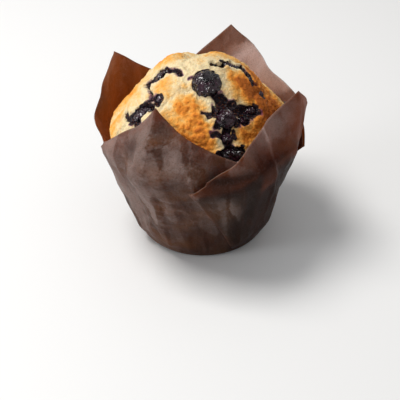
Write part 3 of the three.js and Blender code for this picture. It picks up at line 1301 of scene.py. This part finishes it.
@dataclass(frozen=True)
class Crease:
    """A straight crease in the paper, from one (degrees, height) to another."""

    start: tuple
    end: tuple
    lift: float
    reach: float

    def at(self, degrees: float, z: float, radius: float) -> float:
        """Its lift at a place on the wall.

        Args:
            degrees: Direction of the place.
            z: Height of the place.
            radius: Its distance from the middle.

        Returns:
            The lift in millimetres.
        """
        x = math.radians(turned(degrees, self.start[0])) * radius
        y = z - self.start[1]
        dx = math.radians(self.end[0] - self.start[0]) * radius
        dy = self.end[1] - self.start[1]
        t = (x * dx + y * dy) / (dx * dx + dy * dy)
        end_fade = smoothstep(t, -0.15, 0.1) * (1.0 - smoothstep(t, 0.9, 1.15))
        away = abs(x * dy - y * dx) / math.hypot(dx, dy)
        return self.lift * end_fade * math.exp(-away / self.reach)


@dataclass(frozen=True)
class Column:
    """One line of the sheet from the base to its edge, and its place in a pleat.

    layer is fixed in a pleat and None on a petal, whose flap rides over the fold
    at under. side is how far it sits along the fold's turn. edge counts the sheet's
    outline, one per side, from the tip of the first petal.
    """

    foot: float
    degrees: float
    radius: float
    height: float
    edge: float
    under: tuple
    layer: float | None = None
    side: float = 0.0


PETALS = (
    Petal(
        (296.3, 385),
        (
            (263.7, 40.0, 46.6),
            (275.5, 40.3, 53.2),
            (283, 40.3, 57.2),
            (291.7, 38.4, 59.8),
            (300.5, 35.2, 61.8),
            (313.4, 33.4, 65.4),
            (328, 35.2, 69.8),
            (342, 40.6, 75.0),
        ),
        ((342, 40.6, 75.0), (352, 43.3, 67.0), (368, 43.5, 56.0), (384, 42.0, 50.0), (392, 41.8, 48.5)),
    ),
    Petal(
        (25, 104),
        (
            (-4, 42.6, 42.6),
            (8, 42.6, 46.4),
            (24, 43.4, 53.5),
            (45, 44.2, 59.0),
            (58, 46.0, 65.5),
            (74, 47.5, 75.0),
        ),
        ((74, 47.5, 75.0), (89.5, 43.0, 64.5), (107, 42.0, 54.0), (126, 41.8, 48.0)),
    ),
    Petal(
        (104, 205),
        ((96, 42.0, 44.5), (112, 42.0, 51.5), (130, 41.0, 61.2), (143, 41.4, 69.6), (152, 42.5, 75.0)),
        (
            (152, 42.5, 75.0),
            (158, 43.5, 68.0),
            (165, 45.2, 60.0),
            (172, 45.6, 51.0),
            (186, 42.8, 48.5),
            (203, 41.8, 47.0),
        ),
    ),
    Petal(
        (205, 296.3),
        ((190.7, 41.4, 45.8), (199, 40.8, 50.4), (209, 37.2, 57.3), (219, 31.6, 64.5), (228, 26.4, 71.0)),
        (
            (228, 26.4, 71.0),
            (235.6, 27.0, 69.0),
            (257.3, 31.2, 64.8),
            (276.7, 35.2, 60.6),
            (290, 38.0, 57.0),
            (302, 41.0, 51.5),
        ),
    ),
)
CREASES = (
    Crease((218, 58), (240, 44), -0.9, 1.1),
    Crease((240, 44), (243, 30), -0.9, 1.0),
    Crease((212, 48), (226, 6), 0.6, 1.4),
    Crease((227, 46), (236, 33), 0.5, 0.9),
    Crease((250, 30), (267, 48), 0.5, 1.2),
    Crease((244, 36), (249, 12), -0.5, 1.4),
    Crease((292, 46), (298, 8), 1.5, 3.6),
    Crease((312, 62), (318, 22), 0.8, 1.2),
    Crease((316, 60), (322, 25), -0.6, 1.1),
    Crease((306, 58), (309, 40), -0.5, 1.2),
    Crease((60, 67), (74, 60), 1.0, 3.0),
    Crease((49, 60), (54, 50), -0.9, 2.2),
    Crease((150, 70), (142, 52), 0.6, 1.6),
    Crease((165, 60), (160, 40), -0.5, 1.4),
    Crease((30, 50), (20, 14), -0.7, 1.3),
    Crease((60, 52), (50, 14), 0.6, 1.5),
    Crease((90, 54), (84, 18), 0.6, 1.8),
    Crease((126, 54), (124, 16), -0.6, 1.3),
    Crease((176, 46), (172, 14), 0.6, 1.3),
    Crease((348, 60), (352, 20), 0.6, 1.3),
)
@dataclass(frozen=True)
class FoldFamily:
    """Parallel folds across the paper: straight slopes that meet in sharp creases.

    facing is the direction across the folds, width the way from one to the next,
    reach the height of the tallest and seed tells which ones stand up.
    """

    facing: tuple
    width: float
    reach: float
    seed: float

    def at(self, point: Vector) -> float:
        """Its lift at a point.

        Args:
            point: The point.

        Returns:
            The lift in millimetres.
        """
        across = point.dot(Vector(self.facing).normalized()) / self.width + self.seed
        before = math.floor(across)
        ends = [2.0 * noise.noise(Vector((1.37 * k, self.seed, 0.5))) for k in (before, before + 1)]
        return self.reach * lerp(*ends, across - before)


FOLD_FAMILIES = (
    FoldFamily((1.0, 0.25, 0.45), 8.0, 0.95, 3.0),
    FoldFamily((0.55, -1.0, -0.40), 8.5, 0.95, 5.0),
    FoldFamily((1.0, -0.45, -0.75), 5.5, 0.60, 7.0),
    FoldFamily((0.30, 1.0, 0.70), 6.0, 0.60, 11.0),
    FoldFamily((0.9, 0.6, 0.15), 3.0, 0.26, 13.0),
    FoldFamily((0.8, -0.8, 0.55), 3.3, 0.26, 17.0),
)


@dataclass(frozen=True)
class WallPatch:
    """A soft patch of the wall, round a direction and a height, where the paper differs."""

    degrees: float
    z: float
    wide: float
    high: float
    amount: float = 1.0

    def at(self, degrees: float, z: float) -> float:
        """Its amount at a place on the wall."""
        turn = turned(degrees, self.degrees) / self.wide
        return self.amount * math.exp(-turn * turn - ((z - self.z) / self.high) ** 2)


# Darker, greasy paper: real grease on the hidden sides and in spots, and painted shade on the right-hand
# petal and in the band under its flap, which face away from the light.
GREASE_AND_SHADE_PATCHES = (
    WallPatch(306, 22, 13, 30, 1.5),
    WallPatch(322, 26, 16, 22, 1.3),
    WallPatch(338, 34, 14, 18, 1.0),
    WallPatch(283, 49, 16, 9, 0.9),
    WallPatch(272, 12, 24, 16, 0.45),
    WallPatch(222, 57, 7, 5, 0.5),
    WallPatch(20, 30, 26, 24, 0.8),
    WallPatch(95, 22, 24, 22, 0.6),
    WallPatch(150, 20, 22, 20, 0.5),
    WallPatch(182, 40, 14, 12, 0.4),
)
# Painted light on the paper: each patch lightens the colour where light shines on, through or off the sheet,
# and the negative one paints shade low on the right-hand petal.
PAINTED_LIGHT_PATCHES = (
    WallPatch(48, 58, 22, 10, 2.3),
    WallPatch(66, 60, 10, 5, 1.5),
    WallPatch(84, 66, 22, 12, 0.6),
    WallPatch(206, 36, 18, 26, 0.95),
    WallPatch(228, 18, 22, 22, 0.55),
    WallPatch(236, 36, 12, 12, 0.35),
    WallPatch(320, 64, 18, 9, 1.6),
    WallPatch(303, 22, 12, 24, -0.6),
    WallPatch(278, 46, 7, 10, 0.7),
    WallPatch(287, 28, 7, 16, 0.55),
    WallPatch(158, 72, 10, 9, 1.1),
    WallPatch(222, 60, 20, 10, 0.40),
    WallPatch(255, 56, 16, 7, 0.45),
    WallPatch(338, 72, 14, 8, 0.60),
    WallPatch(120, 62, 16, 12, 0.35),
)


@dataclass(frozen=True)
class TulipLiner:
    """The square parchment sheet, pressed and folded round the cake.

    layer_step is the way from one layer of a pleat to the next. flap_rise is the
    stretch past a fold, in degrees, over which a flap climbs on it.
    """

    crown: Crown
    paper: bpy.types.Material
    cut_edge: bpy.types.Material
    thickness: float = 0.20
    drawn_thickness: float = 0.5
    clearance: float = 0.35
    base_radius: float = 25.0
    foot_radius: float = 28.8
    foot_height: float = 2.9
    foot_run: float = 4.5
    knee_inset: float = 0.7
    lean: float = math.radians(15.5)
    free_height: float = 40.0
    free_share: float = 0.55
    lean_ease: float = 1.8
    layer_step: float = 0.95
    opening: float = 0.14
    pleat_foot: float = 1.6
    pleat_height: float = 47.0
    foot_margin: float = 0.1
    edge_margin: float = 0.02
    flap_rise: tuple = (3.0, 16.0)
    mean_radius: float = 36.0
    crease_lean: float = 0.35
    facet_size: float = 13.0
    fold_size: float = 5.5
    slack: float = 0.9
    # How strongly each facet is painted lighter or darker, as painted light and shade.
    facet_light_and_shade: float = 0.55
    curve_steps: int = 24
    edge_steps: int = 56
    tuck_steps: int = 7
    fold_steps: int = 4
    floor_rings: tuple = (0.0, 9.0, 17.0, 22.0)
    foot_steps: int = 4
    wall_steps: int = 72

    # ---- the sheet's outline

    def edge_points(self, marks: tuple) -> list[tuple[Vector, float]]:
        """Even points along a smooth edge through its marks, each with its distance along it.

        Args:
            marks: The marks, each a direction, a radius and a height.

        Returns:
            The points and distances.
        """
        marks_at = [polar(*mark) for mark in marks]
        ends = [2 * marks_at[0] - marks_at[1], *marks_at, 2 * marks_at[-1] - marks_at[-2]]
        fine = []
        for i in range(len(marks_at) - 1):
            a, b, c, d = ends[i : i + 4]
            for j in range(self.curve_steps):
                t = j / self.curve_steps
                bend = (c - a) * t + (2 * a - 5 * b + 4 * c - d) * t**2 + (3 * b - a - 3 * c + d) * t**3
                fine.append(b + bend / 2.0)
        fine.append(marks_at[-1])
        return evenly(fine, self.edge_steps)

    def petal_columns(self, number: int) -> list[Column]:
        """The columns of one petal, from its outer fold over its tip to its inner fold.

        Args:
            number: Which petal.

        Returns:
            The columns in order.
        """
        petal = PETALS[number]
        behind = PETALS[number - 1].fall[-1][0]
        under = (petal.foot[0], behind + whole_turns(petal.foot[0] - behind))
        rise = self.edge_points(petal.rise)
        fall = self.edge_points(petal.fall)
        tip = rise[-1][1]
        total = tip + fall[-1][1]
        marks = [(point, run, number - (tip - run) / SHEET_SIZE) for point, run in rise]
        marks += [(point, tip + run, number + run / SHEET_SIZE) for point, run in fall[1:]]
        start, end = petal.foot[0] + self.pleat_foot / 2.0, petal.foot[1] - self.pleat_foot / 2.0
        columns = []
        for point, run, edge in marks:
            foot = lerp(start, end, run / total)
            degrees = math.degrees(math.atan2(point.y, point.x))
            degrees += whole_turns(foot - degrees)
            radius = math.hypot(point.x, point.y)
            columns.append(Column(foot, degrees, radius, point.z, edge, under))
        return columns

    def pleat_columns(self, inner: Column, outer: Column) -> list[Column]:
        """The columns that turn back between two petals: a hairpin, the tuck, a hairpin.

        Args:
            inner: The last column of the petal before.
            outer: The first column of the petal after.

        Returns:
            The columns in order.
        """

        def between(share: float, layer: float, side: float) -> Column:
            """A column a share of the way from the inner fold to the outer one.

            Args:
                share: The share.
                layer: How many layers lie under it.
                side: How far it bulges sideways, in layers.

            Returns:
                The column.
            """
            foot_share = self.foot_margin + (1.0 - 2.0 * self.foot_margin) * share
            edge_share = self.edge_margin + (1.0 - 2.0 * self.edge_margin) * share
            return Column(
                foot=lerp(inner.foot, outer.foot, foot_share),
                degrees=lerp(inner.degrees, outer.degrees, share),
                radius=lerp(inner.radius, outer.radius, share),
                height=lerp(inner.height, outer.height, share),
                edge=lerp(inner.edge, outer.edge, edge_share),
                under=outer.under,
                layer=layer,
                side=side,
            )

        turns = [math.pi * i / self.fold_steps for i in range(1, self.fold_steps)]
        first = [between(0.0, 0.5 - 0.5 * math.cos(a), 0.5 * math.sin(a)) for a in turns]
        tuck = [between(i / self.tuck_steps, 1.0, 0.0) for i in range(self.tuck_steps + 1)]
        last = [between(1.0, 1.5 - 0.5 * math.cos(a), -0.5 * math.sin(a)) for a in turns]
        return first + tuck + last

    def columns(self) -> list[Column]:
        """All columns of the sheet, once round and back to the first.

        Returns:
            The columns in order.
        """
        petals = [self.petal_columns(number) for number in range(len(PETALS))]
        ring = []
        for number, columns in enumerate(petals):
            inner, outer = columns[-1], petals[(number + 1) % len(petals)][0]
            turn = whole_turns(inner.foot - outer.foot)
            lap = float(len(petals)) if number == len(petals) - 1 else 0.0
            shifted = replace(
                outer,
                foot=outer.foot + turn,
                degrees=outer.degrees + turn,
                edge=outer.edge + lap,
                under=(outer.under[0] + turn, outer.under[1] + turn),
            )
            ring += columns + self.pleat_columns(inner, shifted)
        return ring + [petals[0][0]]

    @staticmethod
    def square_point(edge: float) -> Vector:
        """The point of the flat sheet's outline at a count along it.

        Args:
            edge: The count, which goes up by one at each corner.

        Returns:
            The point.
        """
        side, along = divmod(edge % 4.0, 1.0)
        half = SHEET_SIZE / 2.0
        start = Matrix.Rotation(side * math.pi / 2.0, 2) @ Vector((half, -half))
        end = Matrix.Rotation(side * math.pi / 2.0, 2) @ Vector((half, half))
        return start.lerp(end, along)

    # ---- the folded surface

    def wall_radius(self, z: float) -> float:
        """Radius of the cone that the innermost layer follows."""
        return self.foot_radius + math.tan(self.lean) * (z - self.foot_height)

    def inner_layer(self, column: Column, share: float) -> Vector:
        """Radius and height of the innermost layer on a column.

        Args:
            column: The column.
            share: How far up it, from the foot to the edge.

        Returns:
            The radius and the height.
        """
        z = lerp(self.foot_height, column.height, share)
        free = min(self.free_height, self.free_share * column.height)
        if z <= free:
            return Vector((self.wall_radius(z), z))
        part = (z - free) / (column.height - free)
        radius = self.wall_radius(z) + (column.radius - self.wall_radius(column.height)) * part**2
        hug = self.crown.radius_at(z) + self.drawn_thickness / 2.0 + 3.0 * self.clearance
        closest = min(self.wall_radius(z), hug)
        ease = self.lean_ease * smoothstep(z, self.free_height - 8.0, self.crown.base)
        return Vector(((radius + closest + math.hypot(radius - closest, ease)) / 2.0, z))

    def layers_under(self, column: Column, degrees: float, share: float) -> float:
        """How many layers lie under a column at a share of its length.

        Args:
            column: The column.
            degrees: Its direction there.
            share: The share of its length.

        Returns:
            The number of layers, from 0 to 2.
        """
        if column.layer is not None:
            return column.layer
        fold = lerp(column.under[0], column.under[1], share)
        near, far = self.flap_rise
        return 2.0 * (1.0 - smoothstep(degrees, fold + near, fold + far))

    def pressed_flat(self, degrees: float, z: float) -> float:
        """How far a place on the wall is pressed flat by a pleat's three layers, from 0 to 1.

        Args:
            degrees: Direction of the place.
            z: Height of the place.

        Returns:
            The share.
        """
        near, far = self.flap_rise
        pressed = 0.0
        for number, petal in enumerate(PETALS):
            behind = PETALS[number - 1].fall[-1][0]
            behind += whole_turns(petal.foot[0] - behind)
            edges = (petal.rise[0][0], behind)
            outer, inner = (lerp(petal.foot[0], edge, z / self.pleat_height) for edge in edges)
            place = turned(degrees, outer) + outer
            begun = smoothstep(place, outer - far, outer - near)
            pressed += begun * (1.0 - smoothstep(place, inner, inner + far))
        return min(pressed, 1.0)

    def wrinkles(self, point: Vector, degrees: float) -> tuple[float, float, float]:
        """Relief of the paper, its worn and lit creases and the painted light and shade of its facets at a
        place on the wall.

        Args:
            point: A point of the smooth innermost layer.
            degrees: Its direction.

        Returns:
            The lift in millimetres, the wear of its creases and the tone of its facets.
        """
        z = point.z
        radius = math.hypot(point.x, point.y)
        leaning = polar(degrees + self.crease_lean * z, self.mean_radius, 0.0)
        facet, border, tone = cells(leaning + Vector((0.0, 0.0, 0.30 * z)), self.facet_size, 31.0)
        fold, fold_border, shade = cells(leaning + Vector((0.0, 0.0, 0.22 * z)), self.fold_size, 35.0)
        wall = smoothstep(z, 1.0, 11.0)
        loose = 1.0 - 0.8 * self.pressed_flat(degrees, z)
        lift = loose * (1.9 * (facet - 0.36) + 0.8 * (fold - 0.36)) + 0.5 * lumps(point, 22.0, 41.0)
        lift += lerp(0.5, 1.0, loose) * sum(family.at(point) for family in FOLD_FAMILIES)
        lift += sum(crease.at(degrees, z, radius) for crease in CREASES)
        lift = wall * (lift - self.slack + math.hypot(lift + self.slack, 0.4)) / 2.0
        # Light lines along facet and fold borders: crease wear with a painted highlight on it.
        crease_wear_and_highlight = math.exp(-((border / 0.05) ** 2)) + 0.6 * math.exp(-((fold_border / 0.07) ** 2))
        # Each facet's tone paints it lighter or darker, as painted light and shade.
        return lift, wall * min(crease_wear_and_highlight, 1.0), wall * (tone + 0.6 * shade)

    def base_point(self, column: Column, row: int) -> tuple[Vector, Vector, float, float]:
        """Where a vertex of the base or the rounded foot goes, as surface_point gives it.

        Args:
            column: Its column.
            row: Its row, from the middle of the base.

        Returns:
            What surface_point gives.
        """
        floor = self.drawn_thickness / 2.0
        outward = self.square_point(column.edge).normalized()
        if row < len(self.floor_rings):
            radius = self.floor_rings[row]
            return polar(column.foot, radius, floor), outward * radius, 0.0, 0.0
        t = (row - len(self.floor_rings)) / self.foot_steps
        start = Vector((self.base_radius, floor))
        knee = Vector((self.foot_radius - self.knee_inset, floor))
        end = Vector((self.foot_radius, self.foot_height))
        middle = start * (1 - t) ** 2 + knee * 2 * t * (1 - t) + end * t**2
        flat = outward * lerp(self.base_radius, self.base_radius + self.foot_run, t)
        return polar(column.foot, middle.x, middle.y), flat, 0.2 * t, 0.0

    def surface_point(self, column: Column, row: int) -> tuple[Vector, Vector, float, float]:
        """Where a vertex of the sheet goes.

        Args:
            column: Its column.
            row: Its row, from the middle of the base to the edge of the sheet.

        Returns:
            Its place, its place on the flat sheet, and the crease wear and highlight and the facet's painted
            light and shade there.
        """
        step = row - len(self.floor_rings) - self.foot_steps
        if step < 0:
            return self.base_point(column, row)
        share = step / self.wall_steps
        middle = self.inner_layer(column, share)
        ahead = self.inner_layer(column, min(share + 0.01, 1.0))
        back = self.inner_layer(column, max(share - 0.01, 0.0))
        run = (ahead - back).normalized()
        opened = smoothstep(share, 0.0, self.opening)
        degrees = lerp(column.foot, column.degrees, share)
        point = polar(degrees, middle.x, middle.y)
        lift, crease_wear_and_highlight, tone = self.wrinkles(point, degrees)
        lift += self.layers_under(column, degrees, share) * self.layer_step * opened
        point = point + polar(degrees, run.y, -run.x) * lift
        point += polar(degrees + 90.0, column.side * self.layer_step * opened, 0.0)
        corner = self.square_point(column.edge)
        flat = (corner.normalized() * (self.base_radius + self.foot_run)).lerp(corner, share)
        return point, flat, crease_wear_and_highlight, tone

    def build(self) -> bpy.types.Object:
        """Builds the liner: a grid folded into place, with the paper's thickness.

        Returns:
            The finished piece.
        """
        columns = self.columns()
        rows = len(self.floor_rings) + self.foot_steps + self.wall_steps
        mesh = bmesh.new()
        width = len(columns) - 1
        bmesh.ops.create_grid(mesh, x_segments=width, y_segments=rows, size=0.5)
        layers = mesh.verts.layers.float
        crease_wear_and_highlight, soaked, dry_and_lit = (layers.new(name) for name in ("crease_wear_and_highlight", "soaked", "dry_and_lit"))
        flats, walls = {}, {}
        for vert in mesh.verts:
            column = columns[round((vert.co.x + 0.5) * width)]
            row = round((vert.co.y + 0.5) * rows)
            vert.co, flats[vert.index], vert[crease_wear_and_highlight], tone = self.surface_point(column, row)
            place = (math.degrees(math.atan2(vert.co.y, vert.co.x)), vert.co.z)
            # Grease, with painted shade on the right-hand petal and under its flap.
            vert[soaked] = sum(patch.at(*place) for patch in GREASE_AND_SHADE_PATCHES)
            # Painted light and shade: the lit patches and each facet's lighter or darker tone.
            vert[dry_and_lit] = sum(patch.at(*place) for patch in PAINTED_LIGHT_PATCHES) + self.facet_light_and_shade * tone
            walls[vert.index] = Vector((math.radians(column.foot) * self.crown.radius, row))
        sheet, wall = (mesh.loops.layers.uv.new(name) for name in ("sheet", "wall"))
        for face in mesh.faces:
            for loop in face.loops:
                loop[sheet].uv = flats[loop.vert.index] / SHEET_SIZE + Vector((0.5, 0.5))
                loop[wall].uv = walls[loop.vert.index]
        bmesh.ops.remove_doubles(mesh, verts=mesh.verts, dist=0.002)
        materials = (self.paper, self.cut_edge)
        piece = finished_piece("parchment_liner", mesh, materials, "tulip_liner")
        thickened = piece.modifiers.new("paper", "SOLIDIFY")
        thickened.thickness = self.thickness * MM
        thickened.offset = 0.0
        thickened.material_offset_rim = 1
        return piece


# ------------------------------------------------------------------ studio


@dataclass(frozen=True)
class SoftLight:
    """A square studio light that faces the muffin. Its place, side and aim are in metres."""

    name: str
    at: tuple
    side: float
    watts: float
    colour: tuple
    aim: tuple = (0.0, 0.0, 0.04)

    def add(self) -> None:
        """Adds the light to the scene."""
        data = bpy.data.lights.new(self.name, "AREA")
        data.size = self.side
        data.energy = self.watts
        data.color = self.colour
        light = bpy.data.objects.new(self.name, data)
        light.location = self.at
        facing = Vector(self.aim) - Vector(self.at)
        light.rotation_euler = facing.to_track_quat("-Z", "Y").to_euler()
        bpy.context.scene.collection.objects.link(light)


@dataclass(frozen=True)
class Studio:
    """Camera, pale floor and soft light. Its lengths are metres, and the lens's are millimetres."""

    lens: float = 80.0
    sensor: float = 36.0
    elevation: float = 38.0
    distance: float = 0.404
    target: tuple = (-0.0011, 0.0, 0.010)
    floor_size: float = 6.0
    floor_colour: tuple = rgba(0.86, 0.86, 0.86)
    floor_roughness: float = 0.5
    sky: tuple = rgba(1.0, 1.0, 1.0)
    sky_strength: float = 0.40
    lights: tuple = (
        SoftLight("key", (-0.34, 0.10, 0.78), 0.34, 5.5, (1.0, 0.985, 0.96)),
        SoftLight("window", (-1.0, -0.36, 0.20), 0.32, 4.9, (0.95, 0.975, 1.0)),
    )

    def add_camera(self) -> None:
        """Adds the camera and makes it the scene's."""
        data = bpy.data.cameras.new("camera")
        data.lens = self.lens
        data.sensor_width = self.sensor
        camera = bpy.data.objects.new("camera", data)
        tilt = math.radians(self.elevation)
        away = Vector((0.0, -math.cos(tilt), math.sin(tilt))) * self.distance
        camera.location = Vector(self.target) + away
        camera.rotation_euler = (math.pi / 2.0 - tilt, 0.0, 0.0)
        bpy.context.scene.collection.objects.link(camera)
        bpy.context.scene.camera = camera

    def add_floor(self) -> None:
        """Adds the pale floor that the muffin stands on."""
        mesh = bmesh.new()
        bmesh.ops.create_grid(mesh, x_segments=1, y_segments=1, size=self.floor_size / 2.0)
        data = bpy.data.meshes.new("floor")
        mesh.to_mesh(data)
        mesh.free()
        material = bpy.data.materials.new("pale_floor")
        material.use_nodes = True
        shader = material.node_tree.nodes["Principled BSDF"]
        shader.inputs["Base Color"].default_value = self.floor_colour
        shader.inputs["Roughness"].default_value = self.floor_roughness
        data.materials.append(material)
        floor = bpy.data.objects.new("floor", data)
        bpy.context.scene.collection.objects.link(floor)

    def add_sky(self) -> None:
        """Adds the even light from all round."""
        world = bpy.data.worlds.new("studio")
        world.use_nodes = True
        background = world.node_tree.nodes["Background"]
        background.inputs["Color"].default_value = self.sky
        background.inputs["Strength"].default_value = self.sky_strength
        bpy.context.scene.world = world
        bpy.context.scene.view_settings.view_transform = "Standard"

    def build(self) -> None:
        """Sets up the whole studio."""
        self.add_camera()
        self.add_floor()
        for light in self.lights:
            light.add()
        self.add_sky()


# ------------------------------------------------------------------ assembly


def main() -> None:
    """Builds the studio, the liner, the cake and the berries, in that order."""
    logging.basicConfig(level=logging.INFO, format="%(name)s %(message)s")
    Studio().build()
    grain = grain_group()
    crown = Crown.from_frame()
    TulipLiner(crown, PaperFinish().make(grain), CutEdgeFinish().make(grain)).build()
    BakedCake(crown, CrumbFinish().make(grain)).build()
    Blueberries(crown, SkinFinish().make(grain)).build_all()


if __name__ == "__main__":
    main()
